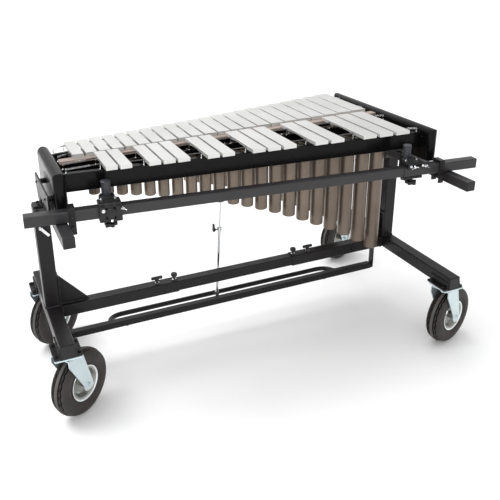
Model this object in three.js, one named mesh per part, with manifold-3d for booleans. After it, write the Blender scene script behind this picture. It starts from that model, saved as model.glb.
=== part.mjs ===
// Three-octave vibraphone on a wheeled field frame with an accessory rack bar.
// Millimetres, +Z up, +X towards the low notes, +Y towards the player.
// Sideways lengths count from midway between the two legs. At the end the whole instrument
// is set down on its tyres with the origin on the floor under the middle of its outline.
import * as THREE from 'three';
import { mergeVertices } from 'three/addons/utils/BufferGeometryUtils.js';
import Module from 'manifold-3d';

const wasm = await Module();
wasm.setup();

// ---------- driving dimensions ----------
const GAP = 0.3; // air between touching pieces

const LEG_X = 712; // centre of each leg
const TUBE = 50; // square tube of the feet and posts
const FOOT_TOP = 322;
const FOOT_REACH = { left: 285, right: 457 }; // half-length of each foot
const POST_TOP = 700;

const STRETCHER = 45; // outer square of the stretcher sleeves
const STRETCHER_Z = 293.5;
const SLEEVE_END = 245; // where the sleeves stop and the inner tube shows
const INNER_TUBE = 40;
const WING_KNOB_X = 325;
const LOCK_KNOB_X = 257;

const WHEEL_R = 118.5;
const AXLE_Z = 123.5;
const TYRE_W = 64;
const TRAIL = 45; // caster offset from swivel axis to axle
const PLATE = { x: 92, y: 101, thick: 5 };
const RACE = { r: 30, thick: 4 };

const BOARD_OUT = 690; // outer face of the end boards
const BOARD_THICK = 42;
const BOARD_BOTTOM = 752;
const BOARD_TOP = 872;
const BOARD_Y = { left: [-215, 92], right: [-305, 372] };

const RAIL_X = BOARD_OUT - BOARD_THICK - GAP; // half-length of every rail
const BAR_TOP = 876;
const BAR_THICK = 12.7;
const BAR_GAP = 8;
const CORD_R = 2;
const NODE_RATIO = 0.224; // where a free bar does not move
const NATURAL_LEFT = -597;
const NATURALS = 22;
const LAST = NATURALS - 1;

const TUBE_TOP = 838; // mouths of the resonators
const TUBE_WALL = 1.6;

const RACK_TUBE = 36;
const RACK_INNER = 33;
const RACK_Z = 750.5;
const RACK_HALF = 800;
const RACK_CENTRE = [8, -309];
const RACK_ANGLE = THREE.MathUtils.degToRad(-4.88);
const RACK_SLEEVE = { left: 540, right: 492 }; // inner ends of the thicker end pieces
const ARM_X = 684;
const ARM_END = { left: -375, right: -505 };
const ARM_TOP = RACK_Z - RACK_TUBE / 2 - GAP;
const RACK_CLAMP_X = 653;
const ACCESSORY_X = { left: -547, right: 533 };

const PIVOT = { y: 43, z: 155 }; // pedal hinge line, along X
const PEDAL_BAR = { y: 30, z: 25, half: 672 };
const LOOP = { half: 495, y: 118, z: 146, r: 10, bend: 58 };
const ROD = { x: -55, footY: 72, footZ: 155, topY: -10 };

// ---------- finishes ----------
const finish = (color, roughness, metalness) => ({ color, roughness, metalness });
const BLACK = finish(0x2b2a2c, 0.5, 0.3);
const BOARD = finish(0x242325, 0.4, 0.1);
const SILVER = finish(0xd8d8d6, 0.45, 0.8);
const BRONZE = finish(0x8c7d6e, 0.45, 0.6);
const ZINC = finish(0xc9dadb, 0.35, 0.8);
const RUBBER = finish(0x33302f, 0.85, 0);
const CHROME = finish(0xe4e4e6, 0.15, 1);
const FELT_LOOK = finish(0xb08f7e, 0.95, 0);
const PLASTIC = finish(0x1f1f20, 0.55, 0);

// ---------- solids ----------
function solid(geometry) {
  const bare = geometry.clone();
  bare.deleteAttribute('normal');
  bare.deleteAttribute('uv');
  const merged = mergeVertices(bare, 1e-4);
  return new wasm.Manifold(new wasm.Mesh({
    numProp: 3,
    vertProperties: new Float32Array(merged.attributes.position.array),
    triVerts: new Uint32Array(merged.index.array),
  }));
}

function surface(manifold) {
  const mesh = manifold.getMesh();
  const geometry = new THREE.BufferGeometry();
  geometry.setAttribute('position', new THREE.BufferAttribute(mesh.vertProperties, 3));
  geometry.setIndex(new THREE.BufferAttribute(mesh.triVerts, 1));
  geometry.computeVertexNormals();
  return geometry;
}

function join(...geometries) {
  return surface(geometries.map(solid).reduce((sum, next) => sum.add(next)));
}

function cut(body, ...tools) {
  return surface(tools.map(solid).reduce((rest, tool) => rest.subtract(tool), solid(body)));
}

function common(...geometries) {
  return surface(geometries.map(solid).reduce((sum, next) => sum.intersect(next)));
}

// A box given by its lowest and highest corners.
function block([x0, y0, z0], [x1, y1, z1]) {
  return new THREE.BoxGeometry(x1 - x0, y1 - y0, z1 - z0)
    .translate((x0 + x1) / 2, (y0 + y1) / 2, (z0 + z1) / 2);
}

// A round rod between two points.
function rod(from, to, radius, sides = 16) {
  const a = new THREE.Vector3(...from);
  const b = new THREE.Vector3(...to);
  const turn = new THREE.Quaternion()
    .setFromUnitVectors(new THREE.Vector3(0, 1, 0), b.clone().sub(a).normalize());
  return new THREE.CylinderGeometry(radius, radius, a.distanceTo(b), sides)
    .applyQuaternion(turn)
    .translate(...a.add(b).multiplyScalar(0.5).toArray());
}

// Outline points (a, b) pushed from low to high along the axis square to them:
// 'x' reads the points as (y, z), 'y' as (x, z) and 'z' as (x, y).
function prism(points, axis, low, high, curveSegments = 6) {
  const shape = points instanceof THREE.Shape
    ? points
    : new THREE.Shape(points.map(([a, b]) => new THREE.Vector2(a, b)));
  const options = { depth: high - low, bevelEnabled: false, curveSegments };
  const geometry = new THREE.ExtrudeGeometry(shape, options);
  if (axis === 'z') return geometry.translate(0, 0, low);
  if (axis === 'x') {
    return geometry.rotateX(Math.PI / 2).rotateZ(Math.PI / 2).translate(low, 0, 0);
  }
  return geometry.rotateX(Math.PI / 2).translate(0, high, 0);
}

// A rectangle with a radius of its own at each corner, from the lower left one round.
function roundedShape(x0, y0, x1, y1, [r0, r1, r2, r3]) {
  const shape = new THREE.Shape();
  shape.moveTo(x0 + r0, y0);
  shape.lineTo(x1 - r1, y0);
  if (r1) shape.absarc(x1 - r1, y0 + r1, r1, -Math.PI / 2, 0);
  shape.lineTo(x1, y1 - r2);
  if (r2) shape.absarc(x1 - r2, y1 - r2, r2, 0, Math.PI / 2);
  shape.lineTo(x0 + r3, y1);
  if (r3) shape.absarc(x0 + r3, y1 - r3, r3, Math.PI / 2, Math.PI);
  shape.lineTo(x0, y0 + r0);
  if (r0) shape.absarc(x0 + r0, y0 + r0, r0, Math.PI, Math.PI * 1.5);
  return shape;
}

// A turned piece: profile points (radius, along) spun about the Y axis.
function turned(profile, sides) {
  return new THREE.LatheGeometry(profile.map(([r, a]) => new THREE.Vector2(r, a)), sides);
}

// ---------- assembly ----------
const vibraphone = new THREE.Group();

function add(name, geometry, look, parent = vibraphone) {
  const mesh = new THREE.Mesh(geometry, new THREE.MeshStandardMaterial(look));
  mesh.name = name;
  parent.add(mesh);
  return mesh;
}

const SIDES = [['left', -1], ['right', 1]];

// Height of a straight line that runs from the left boards to the right ones.
function along(leftY, rightY) {
  return (x) => THREE.MathUtils.lerp(leftY, rightY, (x + RAIL_X) / (2 * RAIL_X));
}

// ---------- legs ----------
function leg(side, sign) {
  const reach = FOOT_REACH[side];
  const x = sign * LEG_X;
  const half = TUBE / 2;
  const bottom = FOOT_TOP - TUBE;
  const pieces = [
    block([x - half, -reach, bottom], [x + half, reach, FOOT_TOP]),
    block([x - half, -half, FOOT_TOP - 1], [x + half, half, POST_TOP]),
  ];
  for (const end of [-1, 1]) {
    for (const face of [-1, 1]) {
      const inner = x + face * (half - 1);
      const outer = x + face * (half + 22);
      const near = end * (reach - 4);
      const far = end * (reach - 104);
      const low = Math.min(inner, outer);
      const high = Math.max(inner, outer);
      const from = Math.min(near, far);
      const to = Math.max(near, far);
      const wall = face > 0 ? [inner, inner + 6] : [inner - 6, inner];
      pieces.push(block([low, from, bottom], [high, to, bottom + 6]));
      pieces.push(block([wall[0], from, bottom + 5], [wall[1], to, bottom + 30]));
    }
  }
  return join(...pieces);
}

function stretcherSleeve(sign) {
  const half = STRETCHER / 2;
  const plateAt = LEG_X - TUBE / 2 - GAP;
  const bore = INNER_TUBE / 2 + GAP;
  const mirror = (a, b) => (sign < 0 ? [-b, -a] : [a, b]);
  const [s0, s1] = mirror(SLEEVE_END, plateAt - 1);
  const [p0, p1] = mirror(plateAt - 6, plateAt);
  const [b0, b1] = mirror(SLEEVE_END - 5, plateAt - 8);
  const top = STRETCHER_Z + half;
  const gusset = [[plateAt - 2, top - 1], [plateAt - 2, top + 112], [plateAt - 8, top + 112],
    [plateAt - 104, top + 4], [plateAt - 104, top - 1]].map(([x, z]) => [sign * x, z]);
  return cut(
    join(
      block([s0, -half, STRETCHER_Z - half], [s1, half, top]),
      block([p0, -TUBE / 2, FOOT_TOP - TUBE], [p1, TUBE / 2, top + 118]),
      prism(gusset, 'y', -3, 3),
    ),
    block([b0, -bore, STRETCHER_Z - bore], [b1, bore, STRETCHER_Z + bore]),
  );
}

const STRETCHER_TOP = STRETCHER_Z + STRETCHER / 2 + GAP;

// A T-shaped clamping screw that stands on the sleeve.
function wingKnob() {
  return join(
    rod([0, 0, 0], [0, 0, 18], 4, 12),
    rod([0, 0, 10], [0, 0, 22], 8, 12),
    prism(roundedShape(-22, -5, 22, 5, [5, 5, 5, 5]), 'z', 15, 26, 3),
  );
}

function lockKnob() {
  return join(rod([0, 0, 0], [0, 0, 16], 4, 12), rod([0, 0, 14], [0, 0, 26], 12, 16));
}

function legsAndStretcher() {
  for (const [side, sign] of SIDES) {
    add(`${side}_leg`, leg(side, sign), BLACK);
    add(`${side}_stretcher_sleeve`, stretcherSleeve(sign), BLACK);
    add(`${side}_stretcher_wing_knob`, wingKnob(), PLASTIC)
      .position.set(sign * WING_KNOB_X, 0, STRETCHER_TOP);
    add(`${side}_stretcher_lock_knob`, lockKnob(), PLASTIC)
      .position.set(sign * LOCK_KNOB_X, 0, STRETCHER_TOP);
  }
  const half = INNER_TUBE / 2;
  const reach = SLEEVE_END + 180;
  add('stretcher_inner_tube', block(
    [-reach, -half, STRETCHER_Z - half],
    [reach, half, STRETCHER_Z + half],
  ), BLACK);
}

// ---------- casters ----------
// A caster's own frame: origin on the floor under the swivel axis, +X the trail.
const PLATE_TOP = FOOT_TOP - TUBE - GAP;
const RACE_BOTTOM = PLATE_TOP - PLATE.thick - RACE.thick;
const CROWN = { top: RACE_BOTTOM - GAP, thick: 4.5 };
const FORK_IN = TYRE_W / 2 + 4;
const FORK_WALL = 4;

function casterPlate() {
  const low = PLATE_TOP - PLATE.thick;
  return join(
    block([-PLATE.x / 2, -PLATE.y / 2, low], [PLATE.x / 2, PLATE.y / 2, PLATE_TOP]),
    rod([0, 0, RACE_BOTTOM], [0, 0, low + 1], RACE.r, 24),
  );
}

function casterFork() {
  const bottom = CROWN.top - CROWN.thick;
  const width = FORK_IN + FORK_WALL;
  const side = new THREE.Shape();
  side.moveTo(-34, CROWN.top);
  side.lineTo(-34, bottom - 22);
  side.lineTo(TRAIL - 21, AXLE_Z + 10);
  side.absarc(TRAIL, AXLE_Z, 23, Math.PI * 0.85, Math.PI * 2.1);
  side.lineTo(30, CROWN.top);
  const walls = [-1, 1].map((s) => {
    const a = s * FORK_IN;
    const b = s * width;
    return prism(side, 'y', Math.min(a, b), Math.max(a, b), 5);
  });
  return join(
    block([-34, -width, bottom], [30, width, CROWN.top]),
    ...walls,
    rod([TRAIL, -width - 7, AXLE_Z], [TRAIL, width + 7, AXLE_Z], 6, 12),
    rod([TRAIL, -width - 7, AXLE_Z], [TRAIL, -width + 1, AXLE_Z], 10, 6),
    rod([TRAIL, width - 1, AXLE_Z], [TRAIL, width + 7, AXLE_Z], 10, 6),
  );
}

function casterRim() {
  const hub = FORK_IN - 1.5;
  const profile = [[7, -hub], [15, -hub], [15, -5], [47, -5], [51, -24], [63.5, -26.5],
    [58, -23], [58, 23], [63.5, 26.5], [51, 24], [47, 5], [15, 5], [15, hub], [7, hub], [7, -hub]];
  return turned(profile, 18);
}

function casterTyre() {
  const half = TYRE_W / 2;
  const crown = WHEEL_R - 5.5;
  const shoulder = WHEEL_R - 17;
  const profile = [[58.5, -21], [65, -23.5], [82, -half], [shoulder, -half + 1],
    [crown, -half + 9], [WHEEL_R, 0], [crown, half - 9], [shoulder, half - 1], [82, half],
    [65, 23.5], [58.5, 21], [58.5, -21]];
  return turned(profile, 28);
}

const CASTERS = [
  ['front_left', -1, -1, 38],
  ['back_left', -1, 1, 38],
  ['front_right', 1, -1, 17],
  ['back_right', 1, 1, 19],
];

function casters() {
  for (const [name, sideX, sideY, heading] of CASTERS) {
    const reach = FOOT_REACH[sideX < 0 ? 'left' : 'right'] + 1 - PLATE.y / 2;
    const swivel = new THREE.Group();
    swivel.position.set(sideX * LEG_X, sideY * reach, 0);
    vibraphone.add(swivel);
    add(`${name}_caster_plate`, casterPlate(), ZINC, swivel);
    const trail = new THREE.Group();
    trail.rotation.z = THREE.MathUtils.degToRad(heading);
    swivel.add(trail);
    add(`${name}_caster_fork`, casterFork(), ZINC, trail);
    add(`${name}_wheel_rim`, casterRim(), ZINC, trail).position.set(TRAIL, 0, AXLE_Z);
    add(`${name}_tyre`, casterTyre(), RUBBER, trail).position.set(TRAIL, 0, AXLE_Z);
  }
}

// ---------- keyboard frame ----------
function endBoard(side, sign) {
  const [y0, y1] = BOARD_Y[side];
  const x0 = Math.min(sign * BOARD_OUT, sign * (BOARD_OUT - BOARD_THICK));
  const x1 = x0 + BOARD_THICK;
  const r = BOARD_THICK / 2 - 1;
  const long = roundedShape(y0, BOARD_BOTTOM, y1, BOARD_TOP, [0, 0, 26, 26]);
  const thick = roundedShape(x0, BOARD_BOTTOM, x1, BOARD_TOP, [0, 0, r, r]);
  const plan = roundedShape(x0, y0, x1, y1, [r, r, r, r]);
  return common(
    prism(long, 'x', x0 - 1, x1 + 1, 4),
    prism(thick, 'y', y0 - 1, y1 + 1, 4),
    prism(plan, 'z', BOARD_BOTTOM - 1, BOARD_TOP + 1, 4),
  );
}

// The plate that carries a board on top of its post.
function boardBracket(sign) {
  const boardFace = BOARD_OUT + GAP;
  const plate = [BOARD_OUT + 13, BOARD_OUT + 19];
  const outline = [[-200, 748], [-24, ARM_TOP + 6], [-24, POST_TOP + GAP], [23, POST_TOP + GAP],
    [50, 748], [50, 800], [-200, 800]];
  const place = ([a, b]) => (sign < 0 ? [-b, -a] : [a, b]);
  const [x0, x1] = place(plate);
  const [f0, f1] = place([plate[0], LEG_X + 22]);
  const spacer = (y, z) => rod([sign * boardFace, y, z], [sign * (plate[0] + 1), y, z], 9, 12);
  return join(
    prism(outline, 'x', x0, x1),
    block([f0, -23, POST_TOP + GAP], [f1, 23, POST_TOP + 6]),
    spacer(-150, 774),
    spacer(26, 774),
  );
}

const RAILS = {
  front_rail: { y: along(-158, -239), thick: 22, low: 792, top: 852, accidental: true },
  accidental_rear_rail: { y: along(-107, -29), thick: 15, low: 812, top: 848, accidental: true },
  natural_front_rail: { y: along(-22, 128), thick: 15, low: 812, top: 848 },
  back_rail: { y: along(67, 302), thick: 15, low: 812, top: 848 },
};

// ---------- bars ----------
function pitch(i) {
  return 45 + 25 * (i / LAST) ** 1.5;
}

// Left edge of each natural's share of the row; entry 22 ends the last one.
const BOUNDARY = [NATURAL_LEFT];
for (let i = 0; i < NATURALS; i += 1) {
  BOUNDARY.push(BOUNDARY[i] + pitch(i));
}
const ROW = BOUNDARY[NATURALS] - NATURAL_LEFT;

function naturalBar(i) {
  const x = (BOUNDARY[i] + BOUNDARY[i + 1] - BAR_GAP) / 2;
  const t = (x - NATURAL_LEFT) / ROW;
  return { x, width: pitch(i) - BAR_GAP, front: -57 + 115 * t, back: 97 + 272 * t ** 1.12 };
}

// Accidentals sit over the boundaries; the groups of two and three leave gaps.
const ACCIDENTALS = [2, 3, 5, 6, 7, 9, 10, 12, 13, 14, 16, 17, 19, 20, 21];

function accidentalBar(boundary) {
  const drift = 12 * Math.sin(Math.PI * boundary / (NATURALS + 1));
  const x = BOUNDARY[boundary] - drift;
  const t = (x - NATURAL_LEFT) / ROW;
  const width = pitch(boundary) * 0.9 - 4;
  return { x, width, front: -222 - 68 * Math.max(t - 0.07, 0) ** 0.8, back: -60 + 88 * t };
}

function nodeY(bar, which) {
  const length = bar.back - bar.front;
  return which === 'front' ? bar.front + NODE_RATIO * length : bar.back - NODE_RATIO * length;
}

// Bars strung on their two suspension cords, as they lift off the rails.
function strungBars(bars) {
  const cordZ = BAR_TOP - BAR_THICK / 2;
  const pieces = bars.map((bar) => block(
    [bar.x - bar.width / 2, bar.front, BAR_TOP - BAR_THICK],
    [bar.x + bar.width / 2, bar.back, BAR_TOP],
  ));
  for (let i = 1; i < bars.length; i += 1) {
    for (const which of ['front', 'back']) {
      const a = bars[i - 1];
      const b = bars[i];
      const from = [a.x + a.width / 2 - 1, nodeY(a, which), cordZ];
      const to = [b.x - b.width / 2 + 1, nodeY(b, which), cordZ];
      pieces.push(rod(from, to, CORD_R, 5));
    }
  }
  return join(...pieces);
}

const OCTAVES = [['high', 0, 8], ['middle', 8, 15], ['low', 15, 22]];
const naturals = Array.from({ length: NATURALS }, (_, i) => naturalBar(i));
const accidentals = ACCIDENTALS.map(accidentalBar);

function bars() {
  OCTAVES.forEach(([name, from, to], k) => {
    add(`${name}_natural_bars`, strungBars(naturals.slice(from, to)), SILVER);
    add(`${name}_accidental_bars`, strungBars(accidentals.slice(k * 5, k * 5 + 5)), SILVER);
  });
}

// Cord posts stand in the gaps between neighbouring bars, just under the cord.
function cordPosts(row, which) {
  const top = BAR_TOP - BAR_THICK / 2 - CORD_R - GAP;
  const posts = [];
  for (let i = 1; i < row.length; i += 1) {
    const a = row[i - 1];
    const b = row[i];
    const x = (a.x + a.width / 2 + b.x - b.width / 2) / 2;
    const y = (nodeY(a, which) + nodeY(b, which)) / 2;
    posts.push([x, y, top]);
  }
  return posts;
}

function rail(name) {
  const { y, thick, low, top, accidental } = RAILS[name];
  const row = accidental ? accidentals : naturals;
  const which = name.startsWith('front') || name.startsWith('natural') ? 'front' : 'back';
  const outline = [
    [-RAIL_X, y(-RAIL_X) - thick / 2], [RAIL_X, y(RAIL_X) - thick / 2],
    [RAIL_X, y(RAIL_X) + thick / 2], [-RAIL_X, y(-RAIL_X) + thick / 2],
  ];
  const posts = cordPosts(row, which).map(([x, nodeAt, postTop]) => {
    const centre = THREE.MathUtils.clamp(nodeAt, y(x) - thick / 2 + 2, y(x) + thick / 2 - 2);
    return block([x - 2, centre - 2, top - 1], [x + 2, centre + 2, postTop]);
  });
  return join(prism(outline, 'z', low, top), ...posts);
}

// ---------- resonators ----------
function resonatorLength(step) {
  return 70 * 2 ** (step / 7.5);
}

// One bank: stopped tubes hung from a pierced carrier strip, mouths upwards.
function resonatorBank(steps, y) {
  const strip = { half: 13, thick: 4, overhang: 6 };
  const first = steps[0];
  const final = steps[steps.length - 1];
  const tubes = steps.map(({ x, radius, step }) => {
    const bottom = TUBE_TOP - resonatorLength(step);
    return rod([x, y(x), bottom], [x, y(x), TUBE_TOP], radius, 9);
  });
  const bores = steps.map(({ x, radius, step }) => {
    const bottom = TUBE_TOP - resonatorLength(step) + 3;
    return rod([x, y(x), bottom], [x, y(x), TUBE_TOP + 1], radius - TUBE_WALL, 9);
  });
  const x0 = first.x - first.radius - strip.overhang;
  const x1 = final.x + final.radius + strip.overhang;
  const carrier = prism([
    [x0, y(x0) - strip.half], [x1, y(x1) - strip.half],
    [x1, y(x1) + strip.half], [x0, y(x0) + strip.half],
  ], 'z', TUBE_TOP - strip.thick, TUBE_TOP);
  return cut(join(carrier, ...tubes), ...bores);
}

function resonators() {
  const frontSteps = [];
  for (let i = 1; i <= LAST; i += 1) {
    frontSteps.push({ x: BOUNDARY[i], radius: pitch(i - 0.5) * 0.4, step: i });
  }
  const backSteps = naturals.map(({ x }, i) => ({ x, radius: pitch(i) * 0.4, step: i + 0.5 }));
  add('front_resonator_bank', resonatorBank(frontSteps, () => -131), BRONZE);
  add('back_resonator_bank', resonatorBank(backSteps, along(20, 217)), BRONZE);
}

// ---------- damper and pedal ----------
const damperY = along(-58.5, 45);
const DAMPER_BOTTOM = 838;
const FELT = { low: 852, top: BAR_TOP - BAR_THICK - 0.5, half: 17 };

function damper() {
  const strip = (half, low, high) => prism([
    [-RAIL_X + 6, damperY(-RAIL_X) - half], [RAIL_X - 6, damperY(RAIL_X) - half],
    [RAIL_X - 6, damperY(RAIL_X) + half], [-RAIL_X + 6, damperY(-RAIL_X) + half],
  ], 'z', low, high);
  add('damper_bar', strip(12, DAMPER_BOTTOM, FELT.low - GAP), BLACK);
  add('damper_felt', strip(FELT.half, FELT.low, FELT.top), FELT_LOOK);
}

const ARM = { half: 3, hole: 3.9, bottom: PIVOT.z - 9, top: PIVOT.z + 9 };

// Pivot bar with end pins, the foot loop behind it and the arm that pulls the rod.
function pedal() {
  const { half, y: deep, z: high } = PEDAL_BAR;
  const front = PIVOT.y - deep / 2;
  const rear = PIVOT.y + deep / 2;
  const z = PIVOT.z;
  const corner = (x, sign) => new THREE.QuadraticBezierCurve3(
    new THREE.Vector3(x - sign * LOOP.bend, LOOP.y, LOOP.z),
    new THREE.Vector3(x, LOOP.y, LOOP.z),
    new THREE.Vector3(x + sign * 6, rear - 4, z),
  );
  const rightCorner = corner(LOOP.half, 1);
  const leftCorner = corner(-LOOP.half, -1);
  const reversed = new THREE.QuadraticBezierCurve3(leftCorner.v2, leftCorner.v1, leftCorner.v0);
  const points = [
    ...reversed.getPoints(5),
    ...rightCorner.getPoints(5),
  ];
  const curve = new THREE.CatmullRomCurve3(points, false, 'centripetal');
  const section = new THREE.Shape().absarc(0, 0, LOOP.r, 0, Math.PI * 2);
  const loop = new THREE.ExtrudeGeometry(section, {
    steps: 40, extrudePath: curve, curveSegments: 4, bevelEnabled: false,
  });
  const pin = LEG_X - TUBE / 2 - 2;
  const arm = block(
    [ROD.x - ARM.half, rear - 2, ARM.bottom],
    [ROD.x + ARM.half, LOOP.y - 6, ARM.top],
  );
  const bushes = [-440, 40, 440].map((x) => rod(
    [x, PIVOT.y, PIVOT.z - high / 2 - 5],
    [x, PIVOT.y, PIVOT.z - high / 2 + 1],
    9,
    12,
  ));
  const body = join(
    block([-half, front, z - high / 2], [half, rear, z + high / 2]),
    rod([-pin, PIVOT.y, z], [pin, PIVOT.y, z], 4, 12),
    loop,
    arm,
    ...bushes,
  );
  const { x: rodX, footY, footZ } = ROD;
  const hole = rod([rodX - 10, footY, footZ], [rodX + 10, footY, footZ], ARM.hole, 14);
  add('damper_pedal', cut(body, hole), BLACK);
}

function pedalHanger(side, sign) {
  const outer = LEG_X - TUBE / 2 - GAP;
  const [x0, x1] = sign < 0 ? [-outer, -outer + 6] : [outer - 6, outer];
  const plate = block([x0, PIVOT.y - 14, PIVOT.z - 16], [x1, PIVOT.y + 14, FOOT_TOP - 6]);
  const bore = rod([x0 - 3, PIVOT.y, PIVOT.z], [x1 + 3, PIVOT.y, PIVOT.z], 4.5, 16);
  add(`${side}_pedal_hanger`, cut(plate, bore), BLACK);
}

// The pull rod leans from the pedal arm up to the damper bar, in two sliding pieces.
function pullRod() {
  const foot = new THREE.Vector3(ROD.x, ROD.footY, ROD.footZ);
  const head = new THREE.Vector3(ROD.x + 3, ROD.topY, DAMPER_BOTTOM - 5);
  const at = (t) => foot.clone().lerp(head, t).toArray();
  const earIn = ARM.half + 1.2;
  const earOut = earIn + 3;
  const ear = (s) => block(
    [ROD.x + Math.min(s * earIn, s * earOut), ROD.footY - 6, ROD.footZ - 7],
    [ROD.x + Math.max(s * earIn, s * earOut), ROD.footY + 6, ROD.footZ + 22],
  );
  const clampAt = 0.48;
  add('lower_pull_rod', cut(
    join(
      ear(-1),
      ear(1),
      block(
        [ROD.x - earOut, ROD.footY - 6, ROD.footZ + 14],
        [ROD.x + earOut, ROD.footY + 6, ROD.footZ + 24],
      ),
      rod([ROD.x - earOut, foot.y, foot.z], [ROD.x + earOut, foot.y, foot.z], 2.5, 12),
      rod(at(0.02), at(clampAt), 5, 12),
      rod(at(clampAt - 0.025), at(clampAt + 0.005), 9, 16),
    ),
    rod(at(0.2), at(clampAt + 0.02), 3.4, 12),
  ), CHROME);
  add('upper_pull_rod', join(
    rod(at(0.24), at(1), 3, 12),
    rod([head.x, head.y, head.z - 5], [head.x, head.y, DAMPER_BOTTOM - GAP], 8, 12),
  ), CHROME);
  const [cx, cy, cz] = at(clampAt - 0.01);
  const screw = add('pull_rod_wing_screw', join(
    rod([-16, 0, 0], [0, 0, 0], 2.5, 10),
    prism(roundedShape(-9, -10, 9, 26, [8, 8, 8, 8]), 'x', -18, -11, 3),
  ), PLASTIC);
  screw.position.set(cx - 9 - GAP, cy, cz);
}

// ---------- rack ----------
// The rack bar's own frame: +X along the bar, origin at its middle.
function rackBar(rack) {
  const box = (x0, x1, side) => block([x0, -side / 2, -side / 2], [x1, side / 2, side / 2]);
  add('rack_bar', join(
    box(-RACK_HALF, -RACK_SLEEVE.left, RACK_TUBE),
    box(-RACK_SLEEVE.left - 1, RACK_SLEEVE.right + 1, RACK_INNER),
    box(RACK_SLEEVE.right, RACK_HALF, RACK_TUBE),
  ), BLACK, rack);
}

function rackArm(side, sign) {
  const half = RACK_TUBE / 2;
  const x = sign * ARM_X;
  const face = -TUBE / 2 - GAP;
  const near = Math.min(sign * (ARM_X - half), sign * (LEG_X + TUBE / 2));
  const far = Math.max(sign * (ARM_X - half), sign * (LEG_X + TUBE / 2));
  add(`${side}_rack_arm`, join(
    block([x - half, ARM_END[side], ARM_TOP - RACK_TUBE], [x + half, face - 2, ARM_TOP]),
    block([near, face - 8, ARM_TOP - RACK_TUBE - 14], [far, face, POST_TOP - 1]),
  ), BLACK);
}

// An inverted U that holds the bar down beside its arm.
function rackClamp() {
  const half = RACK_TUBE / 2 + GAP;
  const wall = 5;
  const cap = 11;
  const leg = (y0, y1) => block([-10, y0, -56], [10, y1, half + cap]);
  return join(
    block([-10, -half - wall, half], [10, half + wall, half + cap]),
    leg(-half - wall, -half),
    leg(half, half + wall),
    rod([0, -half - wall - 6, -half - 14], [0, half + wall + 6, -half - 14], 5, 12),
  );
}

const POST = { r: 16, y: 42, low: -50, high: 82 };

// Block that rides on the bar, with a collar for an upright post behind it. The right one
// grips from behind and leaves most of the bar's front face open.
function accessoryClamp(side) {
  const bore = RACK_TUBE / 2 + GAP;
  const lip = bore - 6;
  const body = cut(
    join(
      block([-35, -30, -28], [35, 28, 34]),
      rod([0, POST.y, -8], [0, POST.y, 36], POST.r + 9, 24),
    ),
    block([-40, -bore, -bore], [40, bore, bore]),
    rod([0, POST.y, -40], [0, POST.y, 60], POST.r + GAP, 24),
  );
  return side === 'left' ? body : cut(body, block([-40, -40, -40], [40, -bore + 1, lip]));
}

// Five-lobed knob with its screw pointing up.
function starKnob() {
  const lobes = [rod([0, 0, -24], [0, 0, -10], 14, 15)];
  for (let i = 0; i < 5; i += 1) {
    const a = i * Math.PI * 2 / 5;
    const [x, y] = [15 * Math.cos(a), 15 * Math.sin(a)];
    lobes.push(rod([x, y, -22], [x, y, -12], 7, 8));
  }
  return join(...lobes, rod([0, 0, -12], [0, 0, 0], 5, 12));
}

function rackAssembly() {
  const rack = new THREE.Group();
  rack.position.set(RACK_CENTRE[0], RACK_CENTRE[1], RACK_Z);
  rack.rotation.z = RACK_ANGLE;
  vibraphone.add(rack);
  rackBar(rack);
  for (const [side, sign] of SIDES) {
    rackArm(side, sign);
    add(`${side}_rack_clamp`, rackClamp(), BLACK, rack)
      .position.x = sign * RACK_CLAMP_X - RACK_CENTRE[0];
    const accessory = new THREE.Group();
    accessory.position.x = ACCESSORY_X[side];
    rack.add(accessory);
    add(`${side}_accessory_clamp`, accessoryClamp(side), PLASTIC, accessory);
    const post = rod([0, POST.y, POST.low], [0, POST.y, POST.high], POST.r, 24);
    add(`${side}_accessory_post`, post, BLACK, accessory);
    add(`${side}_accessory_knob`, starKnob(), PLASTIC, accessory).position.z = -28 - GAP;
  }
}

// ---------- build ----------
legsAndStretcher();
casters();
for (const [side, sign] of SIDES) {
  add(`${side}_end_board`, endBoard(side, sign), BOARD);
  add(`${side}_board_bracket`, boardBracket(sign), BLACK);
  pedalHanger(side, sign);
}
for (const name of Object.keys(RAILS)) {
  add(name, rail(name), BLACK);
}
bars();
resonators();
damper();
pedal();
pullRod();
rackAssembly();

const outline = new THREE.Box3().setFromObject(vibraphone, true);
const middle = outline.getCenter(new THREE.Vector3());
vibraphone.position.set(-middle.x, -middle.y, -outline.min.z);

export default vibraphone;
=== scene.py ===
"""Visual model of a field vibraphone on a wheeled frame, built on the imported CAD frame."""

import math

import bmesh
import bpy
from mathutils import Matrix, Vector


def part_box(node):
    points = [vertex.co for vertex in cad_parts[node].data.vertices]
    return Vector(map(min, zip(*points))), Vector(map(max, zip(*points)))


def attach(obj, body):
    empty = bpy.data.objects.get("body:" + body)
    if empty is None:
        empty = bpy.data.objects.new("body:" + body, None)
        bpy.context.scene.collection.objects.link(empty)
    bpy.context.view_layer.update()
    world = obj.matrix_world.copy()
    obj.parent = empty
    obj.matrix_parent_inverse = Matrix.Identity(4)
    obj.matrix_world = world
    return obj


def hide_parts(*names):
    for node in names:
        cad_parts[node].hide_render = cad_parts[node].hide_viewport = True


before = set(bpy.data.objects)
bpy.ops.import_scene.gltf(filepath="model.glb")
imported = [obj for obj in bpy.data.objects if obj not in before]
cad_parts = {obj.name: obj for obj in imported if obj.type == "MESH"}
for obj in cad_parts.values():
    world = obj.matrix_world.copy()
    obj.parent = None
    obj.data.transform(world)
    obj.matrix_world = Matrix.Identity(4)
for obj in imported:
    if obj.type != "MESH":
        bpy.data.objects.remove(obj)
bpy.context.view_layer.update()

# ---------- driving dimensions, in millimetres, sideways from midway between the legs ----------
LEG_X = 712
TUBE = 50
FOOT_TOP = 322
FOOT_REACH = {"left": 285, "right": 457}
POST_TOP = 700
GAP = 0.3
STRETCHER = 45
STRETCHER_Z = 293.5
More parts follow.
